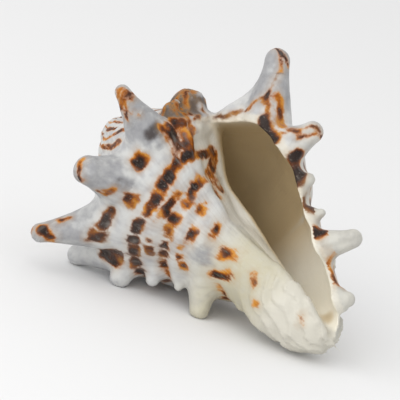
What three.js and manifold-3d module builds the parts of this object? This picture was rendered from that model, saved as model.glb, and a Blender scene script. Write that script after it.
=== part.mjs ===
// A spiny vase shell: one grown piece with an open mouth, resting on the tips of four of its spines.
// Millimetres. The shell is drawn in its own frame, with +Z along the coiling axis to the apex and the
// end of the canal near Z = 0. It is then turned to rest on the plane Z = 0 with the mouth to the front.
import * as THREE from "three";
import { mergeVertices } from "three/addons/utils/BufferGeometryUtils.js";
import Module from "manifold-3d";

const wasm = await Module();
wasm.setup();

// Growth: turn 0 is the lip of the mouth, turn -1 is one whole turn earlier.
const TURN_GROWTH = 1.675; // how much wider the whorl gets in one turn
const LENGTH_POWER = 0.78; // below 1 the whorl grows less in length than in width
const SHOULDER_HEIGHT = 37.8; // height of the shoulder at the lip
const SPIRE_RISE = 29.8; // from the shoulder at the lip up to the apex
const SPIRE_BEND = 1.32; // above 1 the spire is domed, at 1 it is a straight cone
const LIP_ANGLE = 66; // bearing of the lip about the axis, in degrees
const LIP_LEAN = -5; // how far the lip's lower end leans, in degrees
const SPIRE_TURNS = 4;
const CORE = 1.0; // the whorls are solid to this distance from the axis
const STEPS_PER_TURN = 30;
const SPIRE_STEPS = 0.67; // the small whorls of the spire take this share of the steps
const OVERLAP = 0.02; // in turns, where one stretch of whorl runs on into the next

// The whorl's section at the lip, as [radius, height], from the suture down to the canal.
// Spiral cords stand out from it, with shallow grooves between them.
const SECTION = [
  [14.5, 51.8],
  [20.0, 45.8],
  [26.2, 38.0],
  [25.1, 33.5],
  [25.7, 29.6],
  [23.0, 25.3],
  [21.7, 22.0],
  [18.1, 18.5],
  [17.8, 15.6],
  [15.9, 12.8],
  [14.7, 8.8],
  [11.6, 4.4],
  [9.8, 1.0],
  [7.4, -2.8],
];

// The hollow's section at the lip: round the inside of the lip, then up the inner side of the mouth.
const MOUTH = [
  [15.6, 49.4],
  [19.6, 44.8],
  [24.3, 37.8],
  [23.6, 31.5],
  [21.3, 24.4],
  [16.9, 18.0],
  [14.2, 12.0],
  [10.6, 5.4],
  [7.6, 0.0],
  [5.8, -5.0],
  [3.2, -5.0],
  [3.0, 2.0],
  [3.8, 10.0],
  [6.2, 20.0],
  [7.9, 28.0],
  [8.2, 36.0],
  [11.0, 41.0],
  [14.0, 45.0],
];
const MOUTH_DEPTH = 0.8; // how far in the hollow goes, in turns
const MOUTH_START = 0.05; // the cut starts this far in front of the lip, in turns
const MOUTH_STEPS = 26;

// The twisted pillar at the front end, with the edges of its old growth layers, as [radius, height].
const PILLAR = [
  [0.0, -3.8],
  [3.6, -2.8],
  [4.9, -0.6],
  [5.3, -0.5],
  [6.3, 2.6],
  [6.7, 2.7],
  [7.5, 6.4],
  [7.9, 6.5],
  [8.2, 11.0],
  [7.6, 17.0],
  [6.8, 26.0],
  [0.0, 40.0],
];
const PILLAR_SIDES = 20;

// The long spines of the shoulder. Tilt is towards the apex, in degrees.
const SHOULDER_ROW = [25.6, 37.6];
const SHOULDER_SPINES = [
  { turn: -0.016, tilt: 31, length: 14.6, base: 5.4, tip: 2.2 },
  { turn: -0.2, tilt: 30, length: 9.0, base: 5.0, tip: 1.7 },
  { turn: -0.38, tilt: 32, length: 9.0, base: 4.6, tip: 1.7 },
  { turn: -0.56, tilt: 40, length: 9.1, base: 4.6, tip: 2.3 },
  { turn: -0.642, tilt: 28, length: 14.4, base: 4.9, tip: 1.5 },
  { turn: -0.75, tilt: 21, length: 10.0, base: 5.2, tip: 2.7 },
  { turn: -0.85, tilt: 31, length: 13.4, base: 4.4, tip: 1.3 },
  { turn: -0.985, tilt: 30, length: 4.0, base: 4.4, tip: 2.6 },
  { turn: -1.11, tilt: 25, length: 2.4, base: 2.6, tip: 1.3 },
  { turn: -1.24, tilt: 25, length: 2.4, base: 2.6, tip: 1.3 },
  { turn: -1.37, tilt: 25, length: 2.2, base: 2.4, tip: 1.2 },
  { turn: -1.5, tilt: 25, length: 2.2, base: 2.4, tip: 1.2 },
  { turn: -1.63, tilt: 25, length: 2.0, base: 2.2, tip: 1.1 },
  { turn: -1.76, tilt: 25, length: 2.0, base: 2.0, tip: 1.0 },
];

// The rows below the shoulder, on the cords. Each length belongs to the turn in the same place.
const ROW_TURNS = [-0.016, -0.2, -0.38, -0.575];
const LOWER_ROWS = [
  { at: [25.0, 29.6], tilt: -27, base: 3.8, tip: 2.1, lengths: [7.0, 4.5, 4.5, 4.8] },
  { at: [21.2, 22.0], tilt: -30, base: 2.6, tip: 1.5, lengths: [2.4, 2.0, 2.0, 2.6] },
  { at: [17.2, 15.6], tilt: -32, base: 2.2, tip: 1.0, lengths: [3.0, 2.0, 2.0, 2.4] },
  { at: [14.2, 9.5], tilt: -38, base: 3.3, tip: 1.6, lengths: [7.9, 5.5, 5.5, 6.6] },
  { at: [9.8, 2.0], tilt: -40, base: 2.3, tip: 1.4, lengths: [2.6, 2.0, 2.0, 2.4] },
];

// A web joins the lip's shoulder spine to the ramp above it.
const WEB_ROW = [21.5, 43.4];
const WEB = { turn: -0.016, tilt: -2, length: 8.6, base: 3.4, tip: 1.4 };

// The spines of the lip are folds of its edge, with a seam down the side that faces out of the mouth.
const SEAM_WIDTH = 0.9;
const SEAM_DEPTH = 0.9;
const SEAM_PROUD = 0.3; // the cutter stands this far out of the spine

// A spine's shape: how deep its root goes, [share of the length, share of the taper left] at two places,
// and how much of the tip's radius its rounded end takes.
const SPINE_FOOT = 2.6;
const SPINE_TAPER = [
  [0.3, 0.52],
  [0.65, 0.2],
];
const TIP_ROUND = 0.45;
const TIP_END = 0.5;
const LONG_SPINE = 5;
const SHORT_SPINE = 3;
const SIDES = { long: 10, middle: 8, short: 7 };
const MERGE_GAP = 1e-4; // points closer than this are one point

const degrees = THREE.MathUtils.degToRad;
const growth = (turn) => TURN_GROWTH ** turn;

// Where a point of the lip's section was when the whorl had grown as far as this turn.
function onWhorl([radius, height], turn) {
  const g = growth(turn);
  const below = SHOULDER_HEIGHT - height;
  const angle = degrees(LIP_ANGLE + (LIP_LEAN * below) / SHOULDER_HEIGHT - 360 * turn);
  const z = SHOULDER_HEIGHT + SPIRE_RISE * (1 - g ** SPIRE_BEND) - g ** LENGTH_POWER * below;
  return new THREE.Vector3(g * radius * Math.cos(angle), g * radius * Math.sin(angle), z);
}

// The triangles that fill one ring of points, as places in the ring.
function fill(ring) {
  const normal = new THREE.Vector3();
  ring.forEach((p, k) => normal.add(p.clone().cross(ring[(k + 1) % ring.length])));
  const u = ring[1].clone().sub(ring[0]).projectOnPlane(normal).normalize();
  const v = normal.normalize().clone().cross(u);
  const flat = ring.map((p) => new THREE.Vector2(p.dot(u), p.dot(v)));
  return THREE.ShapeUtils.triangulateShape(flat, []);
}

// A closed skin through rings of equal numbers of points, with a cap at each end.
function loft(rings) {
  const count = rings[0].length;
  const faces = [];
  for (let i = 0; i + 1 < rings.length; i++) {
    for (let j = 0; j < count; j++) {
      const a = i * count + j;
      const b = i * count + ((j + 1) % count);
      faces.push(a, b, a + count, b, b + count, a + count);
    }
  }
  const last = (rings.length - 1) * count;
  fill(rings[0]).forEach(([a, b, c]) => faces.push(a, c, b));
  fill(rings.at(-1)).forEach(([a, b, c]) => faces.push(last + a, last + b, last + c));
  const geometry = new THREE.BufferGeometry().setFromPoints(rings.flat());
  geometry.setIndex(faces);
  return geometry;
}

// A closed skin as a solid, with its faces turned outwards.
function solid(geometry) {
  const bare = new THREE.BufferGeometry();
  bare.setAttribute("position", geometry.getAttribute("position"));
  bare.setIndex(geometry.getIndex());
  const merged = mergeVertices(bare, MERGE_GAP);
  const corners = new Uint32Array(merged.index.array);
  const make = () =>
    new wasm.Manifold(
      new wasm.Mesh({
        numProp: 3,
        vertProperties: merged.attributes.position.array,
        triVerts: corners,
      }),
    );
  const made = make();
  if (made.volume() > 0) return made;
  for (let i = 0; i < corners.length; i += 3) {
    const kept = corners[i + 1];
    corners[i + 1] = corners[i + 2];
    corners[i + 2] = kept;
  }
  return make();
}

// A section carried along the growing whorl.
function sweep(section, from, to, steps) {
  const rings = [];
  for (let i = 0; i <= steps; i++) {
    const turn = from + ((to - from) * i) / steps;
    rings.push(section.map((p) => onWhorl(p, turn)));
  }
  return solid(loft(rings));
}

function pillar() {
  const points = PILLAR.map(([r, z]) => new THREE.Vector2(r, z));
  const lathe = new THREE.LatheGeometry(points, PILLAR_SIDES);
  lathe.rotateX(Math.PI / 2);
  return solid(lathe);
}

// The root of a spine and the directions along it, round the whorl and square to both.
function spineAxes(at, { turn, tilt }) {
  const root = onWhorl(at, turn);
  const out = root.clone().setZ(0).normalize();
  const along = out.clone().multiplyScalar(Math.cos(degrees(tilt)));
  along.setZ(Math.sin(degrees(tilt)));
  const side = new THREE.Vector3(0, 0, 1).cross(out);
  return { root, along, side, up: along.clone().cross(side) };
}

// The distances along a spine at which its thickness is given, as [distance, radius].
function stationsOf({ length, base, tip }) {
  const taper = SPINE_TAPER.map(([share, left]) => [share * length, tip + left * (base - tip)]);
  return [
    [-SPINE_FOOT, base],
    [0.0, base],
    ...(length > SHORT_SPINE ? taper : []),
    [length - TIP_ROUND * tip, tip],
    [length, TIP_END * tip],
  ];
}

// A blunt horn that stands on the whorl, wide at the root and rounded off at the tip.
function spine(at, item, sides) {
  const { root, along, side, up } = spineAxes(at, item);
  const rings = stationsOf(item).map(([s, radius]) => {
    const ring = [];
    for (let j = 0; j < sides; j++) {
      const angle = (2 * Math.PI * j) / sides;
      const p = root.clone().addScaledVector(along, s);
      p.addScaledVector(side, radius * Math.cos(angle));
      p.addScaledVector(up, radius * Math.sin(angle));
      ring.push(p);
    }
    return ring;
  });
  return solid(loft(rings));
}

// A notch down the front of a spine, following its thickness.
function seam(at, item) {
  const { root, along, side, up } = spineAxes(at, item);
  const corners = [
    [SEAM_PROUD, -SEAM_WIDTH],
    [SEAM_PROUD, SEAM_WIDTH],
    [-SEAM_DEPTH, 0],
  ];
  const rings = stationsOf(item).slice(1).map(([s, radius]) =>
    corners.map(([depth, across]) => {
      const p = root.clone().addScaledVector(along, s);
      p.addScaledVector(side, -radius - depth);
      p.addScaledVector(up, across);
      return p;
    }),
  );
  return solid(loft(rings));
}

// The whorls are laid in half turns, each overlapping the next a little.
const HALF = 0.5;
const whorlSection = [...SECTION, [CORE, SECTION.at(-1)[1]], [CORE, SECTION[0][1]]];
let shell = pillar();
for (let k = 0; k < SPIRE_TURNS / HALF; k++) {
  const steps = Math.round(STEPS_PER_TURN * HALF * (k * HALF < 1 ? 1 : SPIRE_STEPS));
  shell = shell.add(sweep(whorlSection, -(k + 1) * HALF - OVERLAP, -k * HALF, steps));
}
shell = shell.add(spine(WEB_ROW, WEB, SIDES.middle));
const seams = [];
SHOULDER_SPINES.forEach((item, k) => {
  shell = shell.add(spine(SHOULDER_ROW, item, item.length > LONG_SPINE ? SIDES.long : SIDES.short));
  if (k === 0) seams.push(seam(SHOULDER_ROW, item));
});
LOWER_ROWS.forEach(({ at, tilt, base, tip, lengths }) => {
  lengths.forEach((length, k) => {
    const item = { turn: ROW_TURNS[k], tilt, length, base, tip };
    shell = shell.add(spine(at, item, length > SHORT_SPINE ? SIDES.middle : SIDES.short));
    if (k === 0 && length > SHORT_SPINE) seams.push(seam(at, item));
  });
});
seams.forEach((cut) => {
  shell = shell.subtract(cut);
});
shell = shell.subtract(sweep(MOUTH, -MOUTH_DEPTH, MOUTH_START, MOUTH_STEPS));

function geometryOf(made) {
  const mesh = made.getMesh();
  const points = new Float32Array(mesh.numVert * 3);
  for (let i = 0; i < mesh.numVert; i++) {
    points.set(mesh.vertProperties.subarray(i * mesh.numProp, i * mesh.numProp + 3), 3 * i);
  }
  const geometry = new THREE.BufferGeometry();
  geometry.setAttribute("position", new THREE.BufferAttribute(points, 3));
  geometry.setIndex(new THREE.BufferAttribute(mesh.triVerts, 1));
  geometry.computeVertexNormals();
  return geometry;
}

// Turned to rest on four spine tips, which are worn flat where they stand on the surface.
const REST_TURN = new THREE.Euler(degrees(-55.73), degrees(-55.32), degrees(-122.89));
const REST_WEAR = 0.5;
const REST_SLAB = 200;
const SLAB_DEPTH = 10;
const lowest = (made) => {
  const turned = geometryOf(made).applyMatrix4(new THREE.Matrix4().makeRotationFromEuler(REST_TURN));
  turned.computeBoundingBox();
  return turned.boundingBox;
};
const slab = new THREE.BoxGeometry(REST_SLAB, REST_SLAB, SLAB_DEPTH);
slab.translate(0, 0, lowest(shell).min.z + REST_WEAR - SLAB_DEPTH / 2);
slab.applyMatrix4(new THREE.Matrix4().makeRotationFromEuler(REST_TURN).invert());
shell = shell.subtract(solid(slab));

const material = new THREE.MeshStandardMaterial({ color: 0xd8d2c6, roughness: 0.45, metalness: 0 });
const mesh = new THREE.Mesh(geometryOf(shell), material);
mesh.name = "shell";
mesh.rotation.copy(REST_TURN);
const box = lowest(shell);
const middle = box.getCenter(new THREE.Vector3());
mesh.position.set(-middle.x, -middle.y, -box.min.z);
const part = new THREE.Group();
part.add(mesh);
export default part;
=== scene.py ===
"""A spiny vase shell, grown turn by turn as one smooth skin, with its markings laid on that skin."""
import math

import bpy
import numpy as np
import openvdb as vdb
from mathutils import Matrix, Vector
from mathutils.bvhtree import BVHTree


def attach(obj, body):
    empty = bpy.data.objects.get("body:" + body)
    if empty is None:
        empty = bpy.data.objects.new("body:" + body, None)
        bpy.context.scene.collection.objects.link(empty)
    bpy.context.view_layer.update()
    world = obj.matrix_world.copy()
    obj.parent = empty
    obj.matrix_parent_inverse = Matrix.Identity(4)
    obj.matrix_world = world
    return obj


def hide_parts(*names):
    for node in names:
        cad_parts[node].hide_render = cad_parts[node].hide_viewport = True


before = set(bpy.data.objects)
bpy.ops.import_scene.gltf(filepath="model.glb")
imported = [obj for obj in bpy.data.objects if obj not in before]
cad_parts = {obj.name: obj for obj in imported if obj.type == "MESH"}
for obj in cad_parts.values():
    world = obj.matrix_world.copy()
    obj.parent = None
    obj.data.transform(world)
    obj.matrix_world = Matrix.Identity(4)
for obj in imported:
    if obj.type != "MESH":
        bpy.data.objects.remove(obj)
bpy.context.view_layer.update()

# The shell grows in millimetres. The last two are distances beyond anything on it.
METRES_PER_MM = 0.001
FAR = 50.0
VERY_FAR = 1e9

# Growth: turn 0 is the lip, turn -1 one whole turn earlier. Z is the coiling axis, row the height at the lip.
TURN_GROWTH = 1.675
LENGTH_POWER = 0.78
SHOULDER_HEIGHT = 37.8
SPIRE_RISE = 29.8
SPIRE_BEND = 1.32
LIP_ANGLE = 66.0
LIP_LEAN = -5.0
LEAN_REACH = (-15, 45)
LEAN_ROUNDS = 2
WHORLS = 5
WHORL_BLEND = 0.8
# The spire is worn from the third whorl on, and ends in a round apex
FRESH_WHORLS = 2
SPIRE_WEAR = 1.0
SPIRE_FOOT = 52.0
APEX_HEIGHT = 63.4
APEX_RADIUS = 2.6
APEX_BLEND = 1.0
# How the grown shell is turned, in degrees, and shifted to rest on its spine tips
REST_TURN = (-55.73, -55.32, -122.89)
REST_SHIFT = (29.3961, -20.8889, 6.4748)

# Outlines in radius and height on the lip's section, and the steps between two points of the curves
SECTION = [
    (14.5, 51.8), (20.0, 45.8), (26.2, 38.0), (25.1, 33.5), (25.7, 29.6), (23.0, 25.3), (21.7, 22.0),
    (18.1, 18.5), (17.8, 15.6), (15.9, 12.8), (14.7, 8.8), (11.6, 4.4), (9.8, 1.0), (7.4, -2.6), (5.2, -4.2),
    (2.6, -4.8),
]
SECTION_STEPS = 10
PAST_AXIS = -6.0
MOUTH = [
    (17.0, 46.4), (19.2, 44.0), (24.0, 37.6), (23.4, 31.5), (21.3, 24.4), (16.9, 18.0), (14.2, 12.0),
    (10.2, 5.4), (6.8, 0.4), (4.6, -1.8), (3.0, -1.4), (3.0, 3.0), (3.8, 10.0), (6.2, 20.0), (7.9, 28.0),
    (9.2, 36.0), (12.4, 41.0), (15.2, 45.0),
]
MOUTH_STEPS = 8
MOUTH_DEPTH = 0.8
MOUTH_START = 0.05
MOUTH_WHORLS = 2
PILLAR = [
    (PAST_AXIS, -3.8), (0.0, -3.8), (3.6, -2.8), (5.1, -0.5), (6.5, 2.6), (7.7, 6.4), (8.2, 11.0),
    (7.6, 17.0), (6.8, 26.0), (0.0, 40.0), (PAST_AXIS, 40.0),
]
PILLAR_BLEND = 2.5
# The mouth's edge is rounder at the lip, where the wall is thick
LIP_ROUND = 1.0
MOUTH_ROUND = 0.6
THICK_ROUND = 5.5
LIP_FADE_IN = (-0.15, -0.05)
LIP_FADE_OUT = (0.16, 0.06)
THICK_DEPTHS = (1.8, 4.8)
# The lip's lower end draws up towards the canal
LIP_FOOT = SECTION[-1][1] - 1.0
CANAL_LIFT = 4.0
CANAL_TURNS = (-0.25, -0.04)

# Spines: turn, tilt towards the apex, length, radius at the root and at the tip
SHOULDER_ROW = (25.6, 37.6)
SHOULDER_SPINES = [
    (-0.016, 31, 14.6, 5.0, 2.7), (-0.2, 30, 9.0, 5.0, 1.9), (-0.38, 32, 9.0, 4.8, 1.8),
    (-0.56, 40, 9.1, 4.6, 2.4), (-0.642, 29, 14.4, 5.3, 2.0), (-0.75, 21, 10.2, 5.3, 3.1),
    (-0.857, 33, 13.4, 5.2, 1.6), (-0.93, 34, 3.6, 4.0, 2.2), (-0.985, 30, 4.8, 5.2, 3.6),
    (-1.11, 25, 2.4, 2.6, 1.3), (-1.24, 25, 2.4, 2.6, 1.3), (-1.37, 25, 2.2, 2.4, 1.2),
    (-1.5, 25, 2.2, 2.4, 1.2), (-1.63, 25, 2.0, 2.2, 1.1), (-1.76, 25, 2.0, 2.0, 1.0),
]
WORN_SPINES = (7, 8)
# Spines greyed more: the shoulder spines' own grey, and painted shade on the lip's first spine
GREY_AND_SHADED_SPINES = (0, 4, 5, 6)
# A web joins the lip's shoulder spine to the ramp above it
WEB_ROW = (21.5, 43.4)
WEB = (-0.016, -2, 8.6, 3.4, 1.4)
# Lower rows: place on the section, tilt, root and tip radius, and the lengths at the row turns
ROW_TURNS = (-0.016, -0.2, -0.38, -0.575)
LOWER_ROWS = [
    ((25.0, 29.6), -25, 4.0, 2.3, (7.8, 4.5, 4.5, 5.2)),
    ((21.2, 22.0), -30, 2.6, 1.5, (2.4, 2.0, 2.0, 2.6)),
    ((17.2, 15.6), -32, 2.2, 1.0, (3.0, 2.0, 2.0, 2.4)),
    ((14.2, 9.5), -37, 3.4, 2.0, (8.8, 5.5, 5.5, 6.8)),
    ((8.7, -0.9), -44, 2.5, 1.6, (2.6, 2.0, 2.0, 2.4)),
]
SPINE_FOOT = 2.5
SHORTEST_SPINE = 0.1
TIP_REACH = 0.2
TAPER_POWER = 1.35
LONG_SPINE = 5.0
LONG_BLEND = 2.0
SHORT_BLEND = 1.2
FOOT_MARGIN = 3.0
TIP_MARGIN = 1.0
# Long spines have a seam down one side, and worn spines an eaten surface
SEAM_ANGLE = -20.0
SEAM_DEPTH = 0.45
SEAM_WIDTH = 0.7
SEAM_SHARES = (0.1, 0.3)
WORN_DEPTH = 0.8
WORN_SIZE = 2.0
WORN_SEED = 6

# The callus arch beside the mouth's top corner: turn and row
ARCH = [(-0.893, 33.4), (-0.908, 34.0), (-0.92, 32.0), (-0.919, 29.0), (-0.91, 26.6), (-0.9, 25.2)]
ARCH_STEPS = 4
ARCH_RADIUS = 1.3
ARCH_BLEND = 0.7
# Overlapping scales and flakes round the front pillar
SCALES = 12
SCALE_RISE = 5.0
SCALE_HEIGHT = 0.75
SCALE_CURVE = 1.5
SCALE_WANDER = 0.9
SCALE_WANDER_SIZE = 4.5
SCALE_SEED = 4
SCALE_FADE = (17.0, 11.0)
FLAKE_SIZE = 2.4
FLAKE_HEIGHT = 0.42
FLAKE_SEED = 7
# Hills and hollows of the whole skin: size and depth
LUMPS = ((6.0, 0.16), (2.6, 0.1))
LATTICE = 32
# The box of the field of distances
VOXEL = 0.5
FIELD_LOW = np.array([-30.0, -31.5, -6.5])
FIELD_HIGH = np.array([31.0, 40.0, 71.0])


def ramp(low, high, value):
    """0 at low, 1 at high, even between; low may be the larger."""
    return np.clip((value - low) / (high - low), 0, 1)


def ease(low, high, value):
    """As ramp, but smooth at both ends."""
    share = ramp(low, high, value)
    return share * share * (3 - 2 * share)


def smooth_min(a, b, width):
    share = np.clip(0.5 + 0.5 * (b - a) / width, 0, 1)
    return b + (a - b) * share - width * share * (1 - share)


def smooth_max(a, b, width):
    return -smooth_min(-a, -b, width)


def growth(turn):
    return TURN_GROWTH ** turn


def rise(turn):
    return SHOULDER_HEIGHT + SPIRE_RISE * (1 - growth(turn) ** SPIRE_BEND)


def on_whorl(at, turn):
    """Where a point of the lip's section was when the whorl had grown as far as this turn."""
    radius, row = at
    below = SHOULDER_HEIGHT - row
    angle = math.radians(LIP_ANGLE + LIP_LEAN * below / SHOULDER_HEIGHT - 360 * turn)
    grown = growth(turn)
    height = rise(turn) - grown ** LENGTH_POWER * below
    return np.array([grown * radius * math.cos(angle), grown * radius * math.sin(angle), height])


def growth_place(x, y, z, turn_back):
    """Points taken as part of one whorl: turn, growth, distance to the axis, radius and row at the lip."""
    from_axis = np.sqrt(x * x + y * y)
    around = np.degrees(np.arctan2(y, x))
    lean = 0.0
    for _ in range(LEAN_ROUNDS):
        turn = (LIP_ANGLE + lean - around) / 360
        turn = turn - np.floor(turn + 0.5) - turn_back
        grown = growth(turn)
        below = (rise(turn) - z) / grown ** LENGTH_POWER
        lean = LIP_LEAN * np.clip(below, *LEAN_REACH) / SHOULDER_HEIGHT
    return turn, grown, from_axis, from_axis / grown, SHOULDER_HEIGHT - below


def curve_through(points, steps, closed):
    """Points on a smooth curve through the given ones."""
    knots = np.array(points, float)
    count = len(knots)
    curve = []
    for i in range(count if closed else count - 1):
        near = np.arange(i - 1, i + 3)
        a, b, c, d = knots[near % count if closed else near.clip(0, count - 1)]
        for s in np.arange(steps) / steps:
            curve.append(0.5 * (2 * b + (c - a) * s + (2 * a - 5 * b + 4 * c - d) * s * s
                                + (3 * b - a - 3 * c + d) * s ** 3))
    if not closed:
        curve.append(knots[-1])
    return np.array(curve)


class Profile:
    """Signed distance to a closed outline in the plane of radius and height, kept as a fine table."""

    low = np.array([PAST_AXIS, -14.0])
    step = 0.2
    shape = (220, 400)
    last_cell = 1.001
    tiny = 1e-12

    def __init__(self, outline):
        radius = self.low[0] + self.step * np.arange(self.shape[0])
        height = self.low[1] + self.step * np.arange(self.shape[1])
        R, H = np.meshgrid(radius, height, indexing="ij")
        best = np.full(self.shape, VERY_FAR)
        inside = np.zeros(self.shape, bool)
        for a, b in zip(outline, np.roll(outline, -1, 0)):
            edge = b - a
            along = (R - a[0]) * edge[0] + (H - a[1]) * edge[1]
            share = np.clip(along / max(edge @ edge, self.tiny), 0, 1)
            best = np.minimum(best, (R - a[0] - share * edge[0]) ** 2 + (H - a[1] - share * edge[1]) ** 2)
            if a[1] != b[1]:
                crosses = (a[1] > H) != (b[1] > H)
                inside ^= crosses & (R < a[0] + (H - a[1]) * edge[0] / edge[1])
        self.table = (np.sqrt(best) * np.where(inside, -1, 1)).astype(np.float32)

    def __call__(self, radius, height):
        i = np.clip((radius - self.low[0]) / self.step, 0, self.shape[0] - self.last_cell)
        j = np.clip((height - self.low[1]) / self.step, 0, self.shape[1] - self.last_cell)
        i0, j0 = i.astype(np.int32), j.astype(np.int32)
        u, v = i - i0, j - j0
        table = self.table
        return ((table[i0, j0] * (1 - u) + table[i0 + 1, j0] * u) * (1 - v)
                + (table[i0, j0 + 1] * (1 - u) + table[i0 + 1, j0 + 1] * u) * v)


section = curve_through(SECTION, SECTION_STEPS, False)
closing = [(PAST_AXIS, SECTION[-1][1]), (PAST_AXIS, SECTION[0][1])]
outer = Profile(np.vstack([section, closing]))
hollow = Profile(curve_through(MOUTH, MOUTH_STEPS, True))
pillar = Profile(np.array(PILLAR))


def skin_point(turn, row):
    """A point of the whorl's outer skin."""
    return on_whorl((np.interp(-row, -section[:, 1], section[:, 0]), row), turn)


def lumps(x, y, z, size, seed):
    """Smooth random hills and hollows between -1 and 1, about one size across."""
    lattice = np.random.default_rng(seed).uniform(-1, 1, (LATTICE,) * 3).astype(np.float32)
    total = np.zeros(np.shape(x), np.float32)
    cells, shares = [], []
    for value in (x, y, z):
        cell = np.floor(value / size)
        share = value / size - cell
        cells.append(cell.astype(np.int32))
        shares.append(share * share * (3 - 2 * share))
    for corner in np.ndindex(2, 2, 2):
        weight = 1.0
        for share, far in zip(shares, corner):
            weight = weight * (share if far else 1 - share)
        total += weight * lattice[tuple((cell + far) % LATTICE for cell, far in zip(cells, corner))]
    return total


def distance_to(path, x, y, z):
    """Distance to a line of straight steps."""
    best = np.full(np.shape(x), VERY_FAR, np.float32)
    for a, b in zip(path[:-1], path[1:]):
        step = b - a
        dx, dy, dz = x - a[0], y - a[1], z - a[2]
        share = np.clip((dx * step[0] + dy * step[1] + dz * step[2]) / (step @ step), 0, 1)
        gap = (dx - share * step[0]) ** 2 + (dy - share * step[1]) ** 2 + (dz - share * step[2]) ** 2
        best = np.minimum(best, gap)
    return np.sqrt(best)


def mouth_at(x, y, z):
    """Distance to the hollow of the mouth, and the turn there."""
    best = np.full(np.shape(x), FAR, np.float32)
    turn_at = np.zeros(np.shape(x), np.float32)
    for back in range(MOUTH_WHORLS):
        turn, grown, from_axis, radius, row = growth_place(x, y, z, back)
        ends = 2 * math.pi * from_axis * np.maximum(-MOUTH_DEPTH - turn, turn - MOUTH_START)
        gap = np.maximum(hollow(radius, row) * grown, ends)
        turn_at = np.where(gap < best, turn, turn_at)
        best = np.minimum(best, gap)
    return best, turn_at


class Spine:
    """A blunt horn: wide at the root, then nearly even to its round tip."""

    def __init__(self, at, turn, tilt, length, base, tip):
        self.root = on_whorl(at, turn)
        out = np.array([self.root[0], self.root[1], 0.0])
        out /= np.linalg.norm(out)
        lean = math.radians(tilt)
        self.along = out * math.cos(lean) + np.array([0, 0, math.sin(lean)])
        self.side = np.cross([0, 0, 1.0], out)
        self.up = np.cross(self.along, self.side)
        self.length, self.base, self.tip = length, base, tip
        self.end = max(length - tip, SHORTEST_SPINE)

    def radius(self, far):
        share = np.clip(1 - far / self.end, 0, 1)
        return self.tip + (self.base - self.tip) * share ** TAPER_POWER

    def place(self, x, y, z):
        """Share of the length, angle round it (0 on the side of growth), distance to its skin, and radius."""
        dx, dy, dz = x - self.root[0], y - self.root[1], z - self.root[2]
        ahead, beside, above = (dx * a[0] + dy * a[1] + dz * a[2] for a in (self.along, self.side, self.up))
        far = np.clip(ahead, -SPINE_FOOT, self.end)
        radius = self.radius(far)
        gap = np.sqrt((ahead - far) ** 2 + beside * beside + above * above) - radius
        return ahead / self.length, np.arctan2(above, -beside), gap, radius

    def point(self, share, angle):
        """A point of its skin."""
        ahead = share * self.length
        far = min(ahead, self.end)
        reach = math.sqrt(max(self.radius(far) ** 2 - (ahead - far) ** 2, TIP_REACH ** 2))
        turn = math.radians(angle)
        around = math.sin(turn) * self.up - math.cos(turn) * self.side
        return self.root + ahead * self.along + reach * around


spines = [Spine(SHOULDER_ROW, *item) for item in SHOULDER_SPINES] + [Spine(WEB_ROW, *WEB)]
worn = [spines[which] for which in WORN_SPINES]
grey_and_shaded = [spines[which] for which in GREY_AND_SHADED_SPINES]
for at, tilt, base, tip, lengths in LOWER_ROWS:
    spines += [Spine(at, turn, tilt, length, base, tip) for turn, length in zip(ROW_TURNS, lengths)]
arch = curve_through([skin_point(*at) for at in ARCH], ARCH_STEPS, False)

# The whole shell as one field of distances

count = np.ceil((FIELD_HIGH - FIELD_LOW) / VOXEL).astype(int)
steps = [(FIELD_LOW[i] + VOXEL * np.arange(count[i])).astype(np.float32) for i in range(3)]
X, Y, Z = np.meshgrid(*steps, indexing="ij")


def whorl_field():
    """Distance to the whorls, and how round the mouth's edge is."""
    field = np.full(X.shape, FAR, np.float32)
    for back in range(WHORLS):
        turn, grown, from_axis, radius, row = growth_place(X, Y, Z, back)
        gap = outer(radius, row) * grown
        if back >= FRESH_WHORLS:
            gap = gap + SPIRE_WEAR
        if back == 0:
            at_lip = ramp(*LIP_FADE_IN, turn) * ramp(*LIP_FADE_OUT, turn)
            mouth_round = MOUTH_ROUND + THICK_ROUND * at_lip * ramp(*THICK_DEPTHS, -gap)
            gap = smooth_max(gap, 2 * math.pi * from_axis * turn, LIP_ROUND)
            gap = smooth_max(gap, LIP_FOOT + CANAL_LIFT * ease(*CANAL_TURNS, turn) - row, LIP_ROUND)
        field = smooth_min(field, gap, WHORL_BLEND)
    return field, mouth_round


def pillar_field():
    """Distance to the front pillar, with its overlapping scales."""
    around = np.arctan2(Y, X) / (2 * math.pi)
    wander = SCALE_WANDER * lumps(X, Y, Z, SCALE_WANDER_SIZE, SCALE_SEED)
    scale = (Z / SCALE_RISE - SCALES * around + wander) % 1
    flakes = SCALE_HEIGHT * scale ** SCALE_CURVE + FLAKE_HEIGHT * lumps(X, Y, Z, FLAKE_SIZE, FLAKE_SEED)
    return pillar(np.sqrt(X * X + Y * Y), Z) - flakes * ramp(*SCALE_FADE, Z)


def add_spine(field, spine):
    """Blend a spine into the field, in the box that it reaches."""
    ends = np.array([spine.root - FOOT_MARGIN * spine.along,
                     spine.root + (spine.length + TIP_MARGIN) * spine.along])
    margin = spine.base + FOOT_MARGIN
    low = np.floor((ends.min(0) - margin - FIELD_LOW) / VOXEL).astype(int).clip(0)
    high = np.ceil((ends.max(0) + margin - FIELD_LOW) / VOXEL).astype(int)
    box = tuple(slice(first, last) for first, last in zip(low, high))
    share, angle, gap, radius = spine.place(X[box], Y[box], Z[box])
    if spine in worn:
        gap = gap + WORN_DEPTH * lumps(X[box], Y[box], Z[box], WORN_SIZE, WORN_SEED)
    width = SHORT_BLEND
    if spine.length > LONG_SPINE:
        off_seam = (angle - math.radians(SEAM_ANGLE)) * radius / SEAM_WIDTH
        gap = gap + SEAM_DEPTH * np.exp(-off_seam ** 2) * ramp(*SEAM_SHARES, share)
        width = LONG_BLEND
    field[box] = smooth_min(field[box], gap.astype(np.float32), width)


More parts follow.
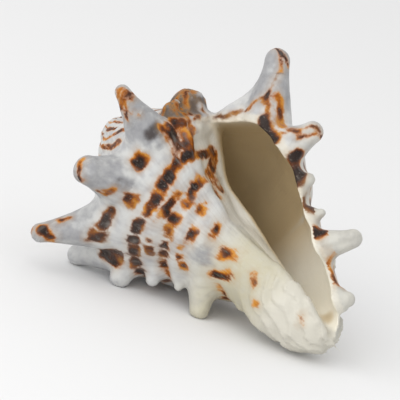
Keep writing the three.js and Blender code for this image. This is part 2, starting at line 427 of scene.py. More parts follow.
solid, mouth_round = whorl_field()
solid = smooth_min(solid, pillar_field(), PILLAR_BLEND)
solid = smooth_min(solid, np.sqrt(X * X + Y * Y + (Z - APEX_HEIGHT) ** 2) - APEX_RADIUS, APEX_BLEND)
for spine in spines:
    add_spine(solid, spine)
solid = smooth_min(solid, distance_to(arch, X, Y, Z) - ARCH_RADIUS, ARCH_BLEND)
solid = smooth_max(solid, -mouth_at(X, Y, Z)[0], mouth_round)
for seed, (size, depth) in enumerate(LUMPS):
    solid += depth * lumps(X, Y, Z, size, seed)

# The tips that the shell rests on are worn level with the floor
about_x, about_y, about_z = (Matrix.Rotation(math.radians(a), 3, name) for a, name in zip(REST_TURN, "XYZ"))
turned = np.array(about_x @ about_y @ about_z)
height = turned[2, 0] * X + turned[2, 1] * Y + turned[2, 2] * Z + REST_SHIFT[2]
solid = np.maximum(solid, -height)

# Skin mesh

grid = vdb.FloatGrid()
grid.transform = vdb.createLinearTransform(voxelSize=VOXEL)
grid.background = FAR
grid.copyFromArray(np.ascontiguousarray(solid.astype(np.float32)))
points, quads = grid.convertToQuads()
points = (points + FIELD_LOW).astype(np.float32)
placed = points @ turned.T + np.array(REST_SHIFT)

mesh = bpy.data.meshes.new("shell_skin")
mesh.from_pydata((placed * METRES_PER_MM).tolist(), [], quads[:, ::-1].tolist())
mesh.update()
mesh.polygons.foreach_set("use_smooth", np.ones(len(mesh.polygons), bool))
skin = bpy.data.objects.new("shell_skin", mesh)
bpy.context.scene.collection.objects.link(skin)

# The photo's view: bearing and tilt of the coiling axis, and the pixel of the axis's lower end

AXIS_BEARING = 135.43
AXIS_TILT = 20.59
AXIS_AT = (318.4, 330.5)
PICTURE = 400
MM_PER_PIXEL = 0.205
VIEW_DISTANCE = 539.6
bearing, tilt = math.radians(AXIS_BEARING), math.radians(AXIS_TILT)
axis = np.array([math.cos(tilt) * math.cos(bearing), math.cos(tilt) * math.sin(bearing), -math.sin(tilt)])
over = np.array([0, 0, 1.0]) + math.sin(tilt) * axis
over /= np.linalg.norm(over)
to_view = np.array([over, np.cross(axis, over), axis]).T
surface = BVHTree.FromPolygons(points.tolist(), quads.tolist())


def skin_at(pixel):
    """The point of the skin that the photo shows at a pixel."""
    right, up, towards = to_view
    eye = VIEW_DISTANCE * towards
    aim = MM_PER_PIXEL * ((pixel[0] - AXIS_AT[0]) * right + (AXIS_AT[1] - pixel[1]) * up)
    return np.array(surface.ray_cast(eye, aim - eye)[0])


# Markings, by the pixels where the photo shows them. Tone 1 is nearly black, 0.6 brown, 0.35 orange.
# Spots by row: pixel, half length along the whorl, half width across it, tone
SPOTS = {
    "shoulder": [
        ((139, 161), 1.4, 1.4, 1.0), ((131, 200), 1.2, 1.2, 0.55), ((110, 253), 2.1, 2.2, 0.8),
        ((96, 236), 1.3, 1.2, 0.65),
    ],
    "upper band": [
        ((187, 157), 1.2, 1.1, 0.85), ((176, 166), 1.4, 1.1, 0.85), ((169, 176), 1.1, 1.2, 1.0),
        ((162, 185), 1.1, 1.2, 1.0), ((153, 203), 2.5, 1.15, 0.7), ((150, 211), 1.0, 0.9, 1.0),
        ((139, 225), 1.5, 1.1, 1.0), ((135, 239), 1.15, 1.2, 1.0), ((134, 251), 1.5, 1.2, 1.0),
        ((136, 262), 1.0, 1.0, 0.9), ((142, 272), 1.2, 0.9, 0.8),
    ],
    "between the bands": [
        ((177, 194), 0.7, 0.6, 0.45), ((168, 208), 2.6, 0.9, 0.6), ((150, 242), 0.6, 0.45, 0.45),
        ((150, 251), 0.9, 0.9, 0.5),
    ],
    "lower band": [
        ((199, 184), 2.0, 0.8, 0.6), ((191, 194), 0.7, 0.7, 0.6), ((186, 204), 0.9, 0.9, 1.0),
        ((175, 221), 1.2, 1.0, 0.95), ((169, 231), 1.2, 0.9, 0.9), ((165, 244), 0.9, 0.8, 1.0),
        ((164, 254), 0.8, 0.8, 1.0), ((163, 264), 1.1, 0.9, 0.9), ((168, 272), 1.0, 0.5, 0.7),
    ],
    "below the bands": [
        ((202, 210), 1.0, 0.9, 0.65), ((206, 203), 0.4, 0.4, 0.45), ((192, 235), 1.4, 0.9, 0.95),
        ((181, 247), 0.4, 0.4, 0.35), ((180, 257), 0.7, 0.7, 0.5), ((183, 266), 1.0, 0.9, 0.8),
    ],
    "base": [
        ((216, 230), 1.4, 0.7, 0.5), ((228, 254), 0.9, 1.5, 0.9), ((221, 275), 1.0, 1.9, 0.8),
        ((223, 293), 1.6, 0.5, 0.55),
    ],
    "arch": [
        ((169, 129), 1.3, 1.2, 0.5), ((175, 123), 1.3, 1.1, 0.75), ((182, 121), 0.9, 1.2, 0.55),
        ((189, 124), 0.6, 1.2, 0.25), ((174, 142), 1.3, 1.6, 0.2), ((179, 153), 1.2, 1.4, 0.15),
        ((188, 156), 0.6, 0.7, 0.8),
    ],
    "lip": [((303, 205), 1.1, 1.5, 0.9), ((316, 232), 1.6, 1.5, 0.75), ((332, 275), 0.6, 2.2, 0.2)],
}
# How far a spot spreads past its half sizes, how deep it reaches in millimetres, and how square it is
SPOT_SPREAD = 1.3
SPOT_REACH = 2.2
SPOT_SQUARENESS = 4
# Strokes: half width, tone, then the pixels that each runs through
STROKES = {
    "foot of the limb spine": (1.2, 1.0, [(111, 211), (106, 219), (101, 226)]),
    "inner lip top": (1.0, 0.35, [(190, 157), (203, 154), (212, 152)]),
    "inner lip corner": (1.7, 0.3, [(213, 153), (213, 162), (210, 173)]),
    "inner lip right tail": (1.2, 0.1, [(212, 174), (216, 182), (221, 189)]),
    "inner lip left tail": (1.1, 0.1, [(207, 174), (212, 186), (217, 195)]),
    "above the arch": (0.45, 0.75, [(186, 119), (200, 116)]),
    "lip top": (0.5, 0.6, [(216, 117), (227, 117), (236, 114), (242, 111)]),
    "lip below the first spine": (1.5, 1.0, [(265, 123), (268, 132), (275, 138)]),
    "lip outside the first spine": (0.4, 0.4, [(277, 131), (283, 133)]),
    "lip below the second spine": (2.2, 0.9, [(296, 158), (296, 168), (296, 177)]),
    "lip spine seam": (0.4, 0.55, [(275, 48), (281, 52), (281, 58), (281, 71), (273, 82), (266, 94)]),
    "lip spine seam end": (0.45, 0.3, [(266, 94), (255, 103), (250, 108), (246, 111)]),
    "lip spine tip": (0.45, 0.5, [(281, 52), (286, 58), (288, 66)]),
    "lip spine left foot": (0.75, 0.45, [(265, 97), (268, 108), (267, 117)]),
    "lip spine right foot": (0.9, 0.6, [(276, 94), (279, 104), (280, 120), (281, 125)]),
    "top spine tip": (0.45, 0.65, [(117, 92), (121, 89), (127, 90)]),
    "top spine right line": (0.4, 0.6, [(121, 89), (126, 104), (127, 120)]),
    "top spine left line": (0.4, 0.65, [(118, 91), (122, 106), (126, 118)]),
    "top spine spot": (0.4, 0.35, [(131, 97), (131, 98)]),
    # Two dark dots are the painted shade of small pits in the top spine, which are not cut
    "painted shade of the top spine's upper pit": (0.25, 0.9, [(131, 112), (132, 112)]),
    "painted shade of the top spine's lower pit": (0.25, 0.9, [(139, 114), (140, 114)]),
    "left spine cap": (0.65, 0.85, [(83, 158), (79, 162)]),
    "left spine tip": (0.8, 0.6, [(79, 162), (78, 170), (80, 180)]),
    "left spine foot": (0.6, 0.5, [(98, 192), (104, 195), (113, 191)]),
    "left spine line": (0.2, 1.0, [(98, 191), (106, 192)]),
    "limb spine tip": (1.2, 0.75, [(40, 228), (46, 231), (52, 236)]),
    "limb spine upper line": (0.6, 0.6, [(58, 221), (68, 218)]),
    "limb spine lower line": (0.5, 0.65, [(48, 240), (55, 241)]),
    "second lip spine upper line": (0.5, 0.5, [(285, 130), (291, 131), (299, 132), (312, 127)]),
    "second lip spine tip": (0.5, 0.6, [(313, 127), (319, 131), (321, 138)]),
    "second lip spine groove": (0.4, 0.5, [(299, 138), (313, 137), (317, 134)]),
    "pillar streak": (0.6, 0.1, [(253, 274), (253, 285)]),
    "pillar spot": (0.8, 0.3, [(254, 304), (255, 304)]),
    "pillar front": (0.5, -0.15, [(301, 316), (301, 323)]),
}
# Soft grey stains: pixel, half length, half width, strength
STAINS = [
    ((203, 256), 3.0, 3.0, 0.8), ((158, 138), 2.2, 1.6, 0.9), ((150, 251), 1.4, 1.4, 0.6),
    ((132, 185), 2.0, 1.6, 0.45), ((191, 194), 1.2, 1.0, 0.7), ((169, 230), 2.5, 1.0, 0.5),
    ((136, 262), 1.5, 1.2, 0.6), ((169, 203), 2.0, 1.2, 0.4), ((153, 131), 3.4, 2.1, 1.7),
    ((161, 132), 2.2, 1.3, 1.4), ((121, 184), 2.2, 1.5, 1.25),
]
STAIN_FADE = (1.3, 0.3)
CANAL_END = (327, 318)
# Bands of the side that the photo doesn't show: row, half width, usual gap between spots in turns, tone
HIDDEN_BANDS = [
    (33.6, 1.5, 0.055, 0.8), (25.2, 1.15, 0.032, 0.95), (20.8, 0.8, 0.06, 0.55), (18.4, 0.9, 0.036, 0.9),
    (13.1, 0.85, 0.05, 0.75), (4.5, 0.9, 0.07, 0.6),
]
HIDDEN_TURNS = (-0.55, -0.03)
HIDDEN_SEED = 11
# How much the hidden spots vary
VARY_SIZE = (0.75, 1.3)
VARY_ROW = (-0.3, 0.3)
VARY_LENGTH = (0.7, 1.4)
VARY_TONE = (0.6, 1.1)
VARY_GAP = (0.7, 1.5)
# Marks darken over this depth, and their edges wander by hills of these sizes and heights
EDGE_DEPTH = 1.2
WARPS = ((4.0, 0.4), (1.6, 0.3))
WARP_SEED = 20
NO_PIGMENT = -2.0
INSIDE_LOSS = 3.0
# Lines up the worn knobs: spacing and twist in degrees, shares of the length, half width, tone
WORN_LINE_GAP = 45
WORN_LINE_TWIST = 25
WORN_LINE_SHARES = (0.0, 0.5, 0.95)
WORN_LINE_HALF = 0.5
WORN_LINE_TONE = 0.75
# Stripes of the spire
STRIPES = 17
STRIPE_SLANT = 1.5
STRIPE_WANDER = 2.5
STRIPE_WANDER_SIZE = 3.0
STRIPE_SEED = 9
STRIPE_GAP = 0.35
STRIPE_TONE = 0.3
STRIPE_HEIGHTS = (SPIRE_FOOT, SPIRE_FOOT + 4)
# The arch is brown, with a painted highlight: paler pigment along its crest, on the side that faces the
# viewer
ARCH_HALF = 1.8
ARCH_TONE = 0.45
HIGHLIGHT_FACING = math.radians(35)
HIGHLIGHT_OUT = 0.8
HIGHLIGHT_UP = 0.3
HIGHLIGHT_FADE = (0.6, 0.15)
HIGHLIGHT_PIGMENT = -0.25
# Grey of the long and the worn spines, by distance from their skin and share of their length; on the lip's
# first spine it is painted shade
LONG_GREY = 0.25
GREY_AND_SHADE = 0.8
WORN_GREY = 1.8
SPINE_SKIN = (0.9, 0.2)
LONG_SHARES = (-0.1, 0.35)
WORN_SHARES = (-0.3, 0.2)
# Steps for the directions along and across the whorl
TURN_STEP = 0.004
ROW_STEP = 0.8


def whorl_place(x, y, z):
    """Turn and row of skin points on the nearest whorl, and how far each is under any whorl's skin."""
    best = np.full(len(x), VERY_FAR)
    under = np.full(len(x), -VERY_FAR)
    turn_at = np.zeros(len(x))
    row_at = np.zeros(len(x))
    for back in range(WHORLS):
        turn, grown, _, radius, row = growth_place(x, y, z, back)
        gap = outer(radius, row) * grown
        if back == 0:
            gap = np.where(turn > MOUTH_START, VERY_FAR, gap)
        if back >= FRESH_WHORLS:
            gap = np.where(z < SPIRE_FOOT, VERY_FAR, gap)
        turn_at = np.where(np.abs(gap) < best, turn, turn_at)
        row_at = np.where(np.abs(gap) < best, row, row_at)
        best = np.minimum(best, np.abs(gap))
        under = np.maximum(under, -gap)
    return turn_at, row_at, under


def spot_axes(centre):
    """Directions along the whorl, across it and out of it."""
    turn, row, _ = (value[0] for value in whorl_place(*centre[:, None]))
    along = skin_point(turn + TURN_STEP, row) - skin_point(turn - TURN_STEP, row)
    along /= np.linalg.norm(along)
    across = skin_point(turn, row + ROW_STEP) - skin_point(turn, row - ROW_STEP)
    across = across - along * (across @ along)
    across /= np.linalg.norm(across)
    return along, across, np.cross(along, across)


def out_of_spot(x, y, z, centre, half_along, half_across):
    """How far out of a rounded square spot each point is: 0 at its middle, 1 at its edge."""
    dx, dy, dz = x - centre[0], y - centre[1], z - centre[2]
    along, across, out = (dx * v[0] + dy * v[1] + dz * v[2] for v in spot_axes(centre))
    power = SPOT_SQUARENESS
    share = ((np.abs(along) / half_along) ** power + (np.abs(across) / half_across) ** power) ** (1 / power)
    return np.where(np.abs(out) < SPOT_REACH, share, FAR)


def hidden_spots():
    """Spots like those in the photo, at random places of the hidden side."""
    chance = np.random.default_rng(HIDDEN_SEED)
    spots = []
    for row, half, gap, tone in HIDDEN_BANDS:
        turn = HIDDEN_TURNS[0]
        while turn < HIDDEN_TURNS[1]:
            size = half * chance.uniform(*VARY_SIZE)
            centre = skin_point(turn, row + chance.uniform(*VARY_ROW))
            half_along = size * chance.uniform(*VARY_LENGTH)
            spots.append((centre, half_along, half, tone * chance.uniform(*VARY_TONE)))
            turn += gap * chance.uniform(*VARY_GAP)
    return spots


def warped(x, y, z):
    """The points shifted by a smooth wander, so that marks get uneven edges."""
    shifts = np.zeros((3, len(x)), np.float32)
    for i, (size, far) in enumerate(WARPS):
        for k in range(3):
            shifts[k] += far * lumps(x, y, z, size, WARP_SEED + 3 * i + k)
    return x + shifts[0], y + shifts[1], z + shifts[2]


def deepen(pigment_and_painted_light, depth, tone):
    """Lay one mark over the pigment: depth is in millimetres inside the mark's edge."""
    return np.maximum(pigment_and_painted_light, np.minimum(depth / EDGE_DEPTH, tone))


def with_spots(pigment_and_painted_light, x, y, z):
    """The spots that the photo shows, and those of the hidden side."""
    seen_spots = [(skin_at(pixel), *rest) for spots in SPOTS.values() for pixel, *rest in spots]
    for centre, half_along, half_across, tone in seen_spots + hidden_spots():
        share = out_of_spot(x, y, z, centre, half_along, half_across)
        pigment_and_painted_light = deepen(pigment_and_painted_light, (SPOT_SPREAD - share) * min(half_along, half_across), tone)
    return pigment_and_painted_light


def with_strokes(pigment_and_painted_light, x, y, z):
    for half, tone, pixels in STROKES.values():
        line = np.array([skin_at(pixel) for pixel in pixels])
        pigment_and_painted_light = deepen(pigment_and_painted_light, half - distance_to(line, x, y, z), tone)
    return pigment_and_painted_light


def with_worn_lines(pigment_and_painted_light, x, y, z):
    """Twisted lines up the worn knobs."""
    for spine in worn:
        for angle in range(-180, 180, WORN_LINE_GAP):
            line = np.array([spine.point(s, angle + WORN_LINE_TWIST * s) for s in WORN_LINE_SHARES])
            pigment_and_painted_light = deepen(pigment_and_painted_light, WORN_LINE_HALF - distance_to(line, x, y, z), WORN_LINE_TONE)
    return pigment_and_painted_light


def with_stripes(pigment_and_painted_light, x, y, z):
    """Wavy stripes down the spire."""
    wander = STRIPE_WANDER * lumps(x, y, z, STRIPE_WANDER_SIZE, STRIPE_SEED)
    stripes = np.cos(STRIPES * np.arctan2(y, x) + STRIPE_SLANT * z + wander) - STRIPE_GAP
    spire = ease(*STRIPE_HEIGHTS, z)
    return np.maximum(pigment_and_painted_light, np.minimum(stripes, STRIPE_TONE) * spire + NO_PIGMENT * (1 - spire))


def with_arch(pigment_and_painted_light, x, y, z):
    """The brown of the callus arch, and a painted highlight along its crest."""
    pigment_and_painted_light = deepen(pigment_and_painted_light, ARCH_HALF - distance_to(arch, x, y, z), ARCH_TONE)
    # Painted highlight: a pale line along the crest, shifted towards the viewer
    highlight_line = arch + [HIGHLIGHT_OUT * math.cos(HIGHLIGHT_FACING), HIGHLIGHT_OUT * math.sin(HIGHLIGHT_FACING), HIGHLIGHT_UP]
    painted_highlight = ease(*HIGHLIGHT_FADE, distance_to(highlight_line, x, y, z))
    return pigment_and_painted_light + (HIGHLIGHT_PIGMENT - pigment_and_painted_light) * painted_highlight


def pigment_and_painted_light_of(x, y, z, inside):
    """How dark the marks are at each skin point, with the arch's painted highlight and two pits' painted
    shade: below 0 outside them, up to 1 in the darkest.
    """
    place = warped(x, y, z)
    pigment_and_painted_light = np.full(len(x), NO_PIGMENT, np.float32)
    pigment_and_painted_light = with_spots(pigment_and_painted_light, *place) - INSIDE_LOSS * inside
    pigment_and_painted_light = with_strokes(pigment_and_painted_light, *place)
    pigment_and_painted_light = with_worn_lines(pigment_and_painted_light, *place)
    pigment_and_painted_light = with_stripes(pigment_and_painted_light, *place)
    return with_arch(pigment_and_painted_light, x, y, z)


def grey_of(x, y, z):
    """How grey each skin point is: about 1 on the long spines, more in smears and on the worn knobs; on the
    lip's first spine the grey is painted shade.
    """
    grey = np.zeros(len(x), np.float32)
    for pixel, half_along, half_across, strength in STAINS:
        share = out_of_spot(x, y, z, skin_at(pixel), half_along, half_across)
        grey = np.maximum(grey, strength * ease(*STAIN_FADE, share))
    for spine in spines:
        share, _, gap, _ = spine.place(x, y, z)
        on_spine = ease(*SPINE_SKIN, gap)
        if spine.length > LONG_SPINE:
            # On the lip's first spine this grey is painted shade; on the others it is their own grey
            strength = GREY_AND_SHADE if spine in grey_and_shaded else LONG_GREY
            grey = np.maximum(grey, strength * on_spine * ease(*LONG_SHARES, share))
        if spine in worn:
            grey = np.maximum(grey, WORN_GREY * on_spine * ease(*WORN_SHARES, share))
    return grey


# Where the skin's colours change: by turn, and by height, row and distance in millimetres

MOUTH_GAPS = (1.0, 0.2)
MOUTH_UNDER = (0.35, 0.8)
LIP_SIDE_TURNS = (-0.3, -0.05)
CREAM_HEIGHTS = (33, 19)
LIP_CREAM_LOSS = 0.6
PALE_HEIGHTS = (15, 6)
# Deeper in, the mouth turns from pale to olive: partly its own colour, partly painted shade where less light
# reaches; on the parietal side it starts sooner, as painted shade at the rim
DEEP_START = 0.03
DEEP_START_ROWS = (18, 26)
DEEP_END = -0.08
DEEP_ROWS = (6, 22)
# Painted shade: the skin darkens to olive towards the canal's end
CANAL_PAINTED_SHADE = 0.8
CANAL_SHADE_GAPS = (2.4, 0.6)
CALLUS_GAPS = (5.0, 1.5)
CALLUS_TURNS = (-0.25, -0.1)
CALLUS_UNDER = (-0.1, 0.4)


def skin_fields():
    """The values at each skin point that the material's colours follow."""
    x, y, z = points.T
    turn, row, under = whorl_place(x, y, z)
    mouth_gap, mouth_turn = mouth_at(x, y, z)
    inside = ease(*MOUTH_GAPS, mouth_gap) * ease(*MOUTH_UNDER, under)
    lip_side = ease(*LIP_SIDE_TURNS, turn)
    *_, lip_row = growth_place(x, y, z, 0)
    deep_start = DEEP_START * ease(*DEEP_START_ROWS, lip_row)
    deep_olive_and_shade = ease(deep_start, DEEP_END, mouth_turn) * ease(*DEEP_ROWS, lip_row)
    canal_gap = np.linalg.norm(points - skin_at(CANAL_END), axis=1)
    callus = ease(*CALLUS_GAPS, mouth_gap) * ease(*CALLUS_TURNS, mouth_turn) * ease(*CALLUS_UNDER, under)
    return {
        "pigment_and_painted_light": pigment_and_painted_light_of(x, y, z, inside),
        "grey": grey_of(x, y, z),
        "cream": ease(*CREAM_HEIGHTS, z) * (1 - LIP_CREAM_LOSS * lip_side),
        "inside": inside,
        "deep_olive_and_shade": np.maximum(deep_olive_and_shade, CANAL_PAINTED_SHADE * ease(*CANAL_SHADE_GAPS, canal_gap)),
        "pale": ease(*PALE_HEIGHTS, z) * (1 - lip_side),
        "callus": callus,
        "turn": turn,
        "row": row,
    }


for name, values in skin_fields().items():
    mesh.attributes.new(name, "FLOAT", "POINT").data.foreach_set("value", np.asarray(values, np.float32))

# Shell material: colours

WHITE = (0.55, 0.55, 0.535, 1)
SHADE = (0.4, 0.4, 0.41, 1)
CREAM = (0.5, 0.465, 0.345, 1)
PALE = (0.6, 0.575, 0.5, 1)
GREY = (0.28, 0.28, 0.29, 1)
SMEAR = (0.07, 0.06, 0.058, 1)
CALLUS = (0.64, 0.61, 0.53, 1)
MOUTH_PALE = (0.82, 0.775, 0.66, 1)
# Olive deep in the mouth: its own colour, darkened further as painted shade
MOUTH_OLIVE_AND_SHADE = (0.54, 0.42, 0.245, 1)
RUST = (0.42, 0.24, 0.09, 1)
DULL_BROWN = (0.055, 0.04, 0.034, 1)
PIGMENT_RAMP = [
    (0.0, (0.52, 0.22, 0.03, 1)), (0.25, (0.34, 0.1, 0.006, 1)), (0.55, (0.11, 0.028, 0.005, 1)),
    (0.9, (0.018, 0.01, 0.008, 1)),
]
# Noises in space: scale per metre and detail
BROAD = (260, 2)
MIDDLE = (620, 3)
FINE = (2200, 3)
PATCHY = (330, 1)
DULL = (95, 1)
# Noises along the growth: scale per turn, scale per millimetre of row, and detail
GROWTH_LINES = (95.0, 0.22, 3)
THREADS = (7.0, 1.5, 2)
# Ground: how far growth lines and clouds change its colours, and the steps between them
SHADE_LINES = 0.5
SHADE_STEP = (0.35, 0.75)
CREAM_LEAST = 0.55
CREAM_VARIES = 0.7
STAIN_CLOUDS = 1.1
STAIN_LINES = 0.8
GREY_STEP = (0.1, 1.1)
GREY_MOST = 0.9
SMEAR_STEP = (0.9, 1.9)
CALLUS_MOST = 0.8
# Marks: how far broad, middle and fine noise and growth lines move their edges, then their rusty halo
EDGE_WANDER = (0.6, 0.9, 0.3, 0.9)
EDGE_STEP = (-0.28, 0.28)
HALO_STEP = (-1.3, 0.2)
HALO_MOST = 0.5
TONE_SHIFT = 0.08
TONE_VARIES = 2.0
TONE_STEP = (-0.3, 0.3)
# Dull brown marks lie on the limb side and off the base
DULL_STEP = (0.35, 0.6)
DULL_TURNS = (-0.8, -0.66)
DULL_ROWS = (10.0, 16.0)
DULL_MOST = 0.65
# Pale streaks and specks in the marks
STREAK_CLOUDS = 0.5
STREAK_STEP = (0.5, 0.85)
SPECK_STEP = (0.56, 0.8)
SPECK_MOST = 0.26
# Surface: gloss, and the bump of growth lines, threads and fine grain
ROUGHNESS_LEAST = 0.26
ROUGHNESS_VARIES = 0.26
SPECULAR = 0.16
LINE_BUMP = 0.6
THREAD_BUMP = 0.5
GRAIN_BUMP = 0.25
BUMP_STRENGTH = 0.4
BUMP_DEPTH = 0.0004


class Nodes:
    """Short ways to add nodes to one material."""

    def __init__(self, tree):
        self.tree = tree

    def add(self, kind, inputs, **settings):
        made = self.tree.nodes.new(kind)
        for name, value in settings.items():
            setattr(made, name, value)
        for socket, value in inputs.items():
            if isinstance(value, bpy.types.NodeSocket):
                self.tree.links.new(value, made.inputs[socket])
            else:
                made.inputs[socket].default_value = value
        return made

    def field(self, name):
        return self.add("ShaderNodeAttribute", {}, attribute_name=name).outputs["Fac"]

    def calc(self, operation, a, b, clamp=False):
        return self.add("ShaderNodeMath", {0: a, 1: b}, operation=operation, use_clamp=clamp).outputs[0]

    def plus(self, a, b):
        return self.calc("ADD", a, b)

    def times(self, a, b):
        return self.calc("MULTIPLY", a, b)

    def around_zero(self, value, size):
        return self.times(self.calc("SUBTRACT", value, 0.5), size)

    def noise(self, vector, scale, detail):
        inputs = {"Vector": vector, "Scale": scale, "Detail": detail}
        return self.add("ShaderNodeTexNoise", inputs).outputs[0]

    def growth_noise(self, turn, row, per_turn, per_row, detail):
        place = self.add("ShaderNodeCombineXYZ", {0: self.times(turn, per_turn), 1: self.times(row, per_row)})
        return self.noise(place.outputs[0], 1, detail)

    def stepped(self, value, low, high):
        inputs = {0: value, 1: low, 2: high}
        return self.add("ShaderNodeMapRange", inputs, interpolation_type="SMOOTHSTEP").outputs[0]

    def blend(self, factor, a, b):
        # A mix node's colours are its inputs 6 and 7 and its output 2
        return self.add("ShaderNodeMix", {0: factor, 6: a, 7: b}, data_type="RGBA").outputs[2]

    def colour_ramp(self, factor, stops):
        made = self.add("ShaderNodeValToRGB", {0: factor})
        elements = made.color_ramp.elements
        while len(elements) < len(stops):
            elements.new(0.5)
        for element, (position, colour) in zip(elements, stops):
            element.position = position
            element.color = colour
        return made.outputs[0]


def ground_colour(nodes, broad, middle, lines):
    """White, cream and grey of the outside, and the pale to olive inside of the mouth, its darkening deeper
    in partly painted shade.
    """
    shade = nodes.stepped(nodes.plus(broad, nodes.around_zero(lines, SHADE_LINES)), *SHADE_STEP)
    colour = nodes.blend(shade, WHITE, SHADE)
    unevenness = nodes.plus(CREAM_LEAST, nodes.times(middle, CREAM_VARIES))
    colour = nodes.blend(nodes.calc("MULTIPLY", nodes.field("cream"), unevenness, True), colour, CREAM)
    colour = nodes.blend(nodes.field("pale"), colour, PALE)
    clouds = nodes.plus(nodes.around_zero(middle, STAIN_CLOUDS), nodes.around_zero(lines, STAIN_LINES))
    # The grey field: real stains and the spines' grey, with painted shade on the lip's first spine
    grey_stains_and_shade = nodes.plus(nodes.field("grey"), clouds)
    colour = nodes.blend(nodes.times(nodes.stepped(grey_stains_and_shade, *GREY_STEP), GREY_MOST), colour, GREY)
    colour = nodes.blend(nodes.stepped(grey_stains_and_shade, *SMEAR_STEP), colour, SMEAR)
    colour = nodes.blend(nodes.times(nodes.field("callus"), CALLUS_MOST), colour, CALLUS)
    # Inside the mouth: pale at the edge and olive deeper in, the darkening partly painted shade
    inner = nodes.blend(nodes.field("deep_olive_and_shade"), MOUTH_PALE, MOUTH_OLIVE_AND_SHADE)
    return nodes.blend(nodes.field("inside"), colour, inner)


def marked_colour(nodes, ground, place, turn, row, broad, middle, fine, lines):
    """The marks over the ground: rusty halo, orange rim, brown to black middle, pale streaks."""
    # This field holds the marks, and also the arch's painted highlight and two pits' painted shade
    pigment_and_painted_light = nodes.field("pigment_and_painted_light")
    for noise, size in zip((broad, middle, fine, lines), EDGE_WANDER):
        pigment_and_painted_light = nodes.plus(pigment_and_painted_light, nodes.around_zero(noise, size))
    halo = nodes.times(nodes.stepped(pigment_and_painted_light, *HALO_STEP), nodes.times(broad, HALO_MOST))
    colour = nodes.blend(halo, ground, RUST)
    patches = nodes.around_zero(nodes.noise(place, *PATCHY), TONE_VARIES)
    unevenness = nodes.times(patches, nodes.stepped(pigment_and_painted_light, *TONE_STEP))
    tone = nodes.plus(nodes.plus(pigment_and_painted_light, TONE_SHIFT), unevenness)
    dull_patches = nodes.stepped(nodes.noise(place, *DULL), *DULL_STEP)
    dull_side = nodes.times(nodes.stepped(turn, *DULL_TURNS), nodes.stepped(row, *DULL_ROWS))
    dullness = nodes.times(nodes.times(dull_patches, dull_side), DULL_MOST)
    stained = nodes.blend(dullness, nodes.colour_ramp(tone, PIGMENT_RAMP), DULL_BROWN)
    streaks = nodes.stepped(nodes.plus(lines, nodes.around_zero(middle, STREAK_CLOUDS)), *STREAK_STEP)
    specks = nodes.calc("MAXIMUM", streaks, nodes.stepped(fine, *SPECK_STEP))
    cover = nodes.calc("SUBTRACT", 1.0, nodes.times(specks, SPECK_MOST))
    return nodes.blend(nodes.times(nodes.stepped(pigment_and_painted_light, *EDGE_STEP), cover), colour, stained)


def shell_material():
    material = bpy.data.materials.new("shell")
    material.use_nodes = True
    nodes = Nodes(material.node_tree)
    place = nodes.add("ShaderNodeTexCoord", {}).outputs["Object"]
    turn, row = nodes.field("turn"), nodes.field("row")
    broad, middle, fine = (nodes.noise(place, *noise) for noise in (BROAD, MIDDLE, FINE))
    lines = nodes.growth_noise(turn, row, *GROWTH_LINES)
    threads = nodes.growth_noise(turn, row, *THREADS)

    ground = ground_colour(nodes, broad, middle, lines)
    colour = marked_colour(nodes, ground, place, turn, row, broad, middle, fine, lines)
    roughness = nodes.plus(ROUGHNESS_LEAST, nodes.times(middle, ROUGHNESS_VARIES))
    grain = nodes.plus(nodes.times(threads, THREAD_BUMP), nodes.times(fine, GRAIN_BUMP))
    relief = nodes.plus(nodes.times(lines, LINE_BUMP), grain)
    bump = nodes.add("ShaderNodeBump", {"Strength": BUMP_STRENGTH, "Distance": BUMP_DEPTH, "Height": relief})

    shader = material.node_tree.nodes["Principled BSDF"]
    material.node_tree.links.new(colour, shader.inputs["Base Color"])
    material.node_tree.links.new(roughness, shader.inputs["Roughness"])
    material.node_tree.links.new(bump.outputs[0], shader.inputs["Normal"])
    shader.inputs["Specular IOR Level"].default_value = SPECULAR
    return material


mesh.materials.append(shell_material())
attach(skin, "root")
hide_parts("shell")

# Floor and light

FLOOR_SIZE = 8.0
FLOOR_COLOUR = (0.79, 0.79, 0.79, 1)
FLOOR_ROUGHNESS = 0.9
SKY_COLOUR = (1, 1, 1, 1)
SKY_STRENGTH = 0.9
LIT_POINT = (0, 0, 0.03)
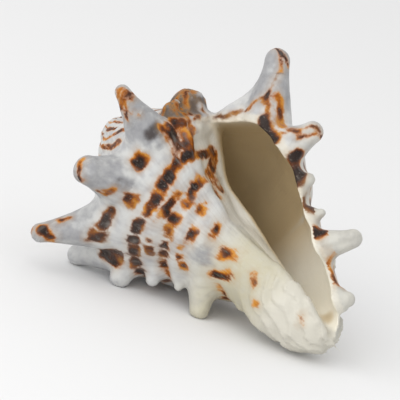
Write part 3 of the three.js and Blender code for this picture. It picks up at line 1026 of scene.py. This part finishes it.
# Lamps: name, place, power in watts, size
LAMPS = [("key", (-0.3, -0.4, 0.62), 2.3, 0.8), ("fill", (-0.35, -0.7, 0.12), 2.3, 0.7)]

bpy.ops.mesh.primitive_plane_add(size=FLOOR_SIZE, location=(0, 0, 0))
floor = bpy.context.object
floor.name = "floor"
paint = bpy.data.materials.new("floor")
paint.use_nodes = True
paint.node_tree.nodes["Principled BSDF"].inputs["Base Color"].default_value = FLOOR_COLOUR
paint.node_tree.nodes["Principled BSDF"].inputs["Roughness"].default_value = FLOOR_ROUGHNESS
floor.data.materials.append(paint)

world = bpy.data.worlds.new("studio")
bpy.context.scene.world = world
world.use_nodes = True
world.node_tree.nodes["Background"].inputs["Color"].default_value = SKY_COLOUR
world.node_tree.nodes["Background"].inputs["Strength"].default_value = SKY_STRENGTH

for name, place, power, size in LAMPS:
    light = bpy.data.lights.new(name, "AREA")
    light.size = size
    light.energy = power
    lamp = bpy.data.objects.new(name, light)
    lamp.location = place
    lamp.rotation_euler = (Vector(LIT_POINT) - Vector(place)).to_track_quat("-Z", "Y").to_euler()
    bpy.context.scene.collection.objects.link(lamp)

# Camera at the photo's view, aimed at the middle of the picture

SENSOR = 36
CLIP_END = 50
right, up, towards = to_view @ turned.T  # the viewer's axes in the part's frame
axis_foot = np.array(REST_SHIFT)
eye = axis_foot + towards * VIEW_DISTANCE
off_axis = (PICTURE / 2 - AXIS_AT[0]) * right + (AXIS_AT[1] - PICTURE / 2) * up
look = axis_foot + MM_PER_PIXEL * off_axis - eye
reach = np.linalg.norm(look)
look = look / reach
side = np.cross(look, up)
side /= np.linalg.norm(side)
camera_data = bpy.data.cameras.new("camera")
camera_data.sensor_width = SENSOR
camera_data.lens = SENSOR * reach / (PICTURE * MM_PER_PIXEL)
camera_data.clip_end = CLIP_END
camera = bpy.data.objects.new("camera", camera_data)
pose = Matrix(np.array([side, np.cross(side, look), -look]).T.tolist()).to_4x4()
pose.translation = Vector(eye * METRES_PER_MM)
camera.matrix_world = pose
bpy.context.scene.collection.objects.link(camera)
bpy.context.scene.camera = camera
bpy.context.scene.view_settings.view_transform = "Standard"
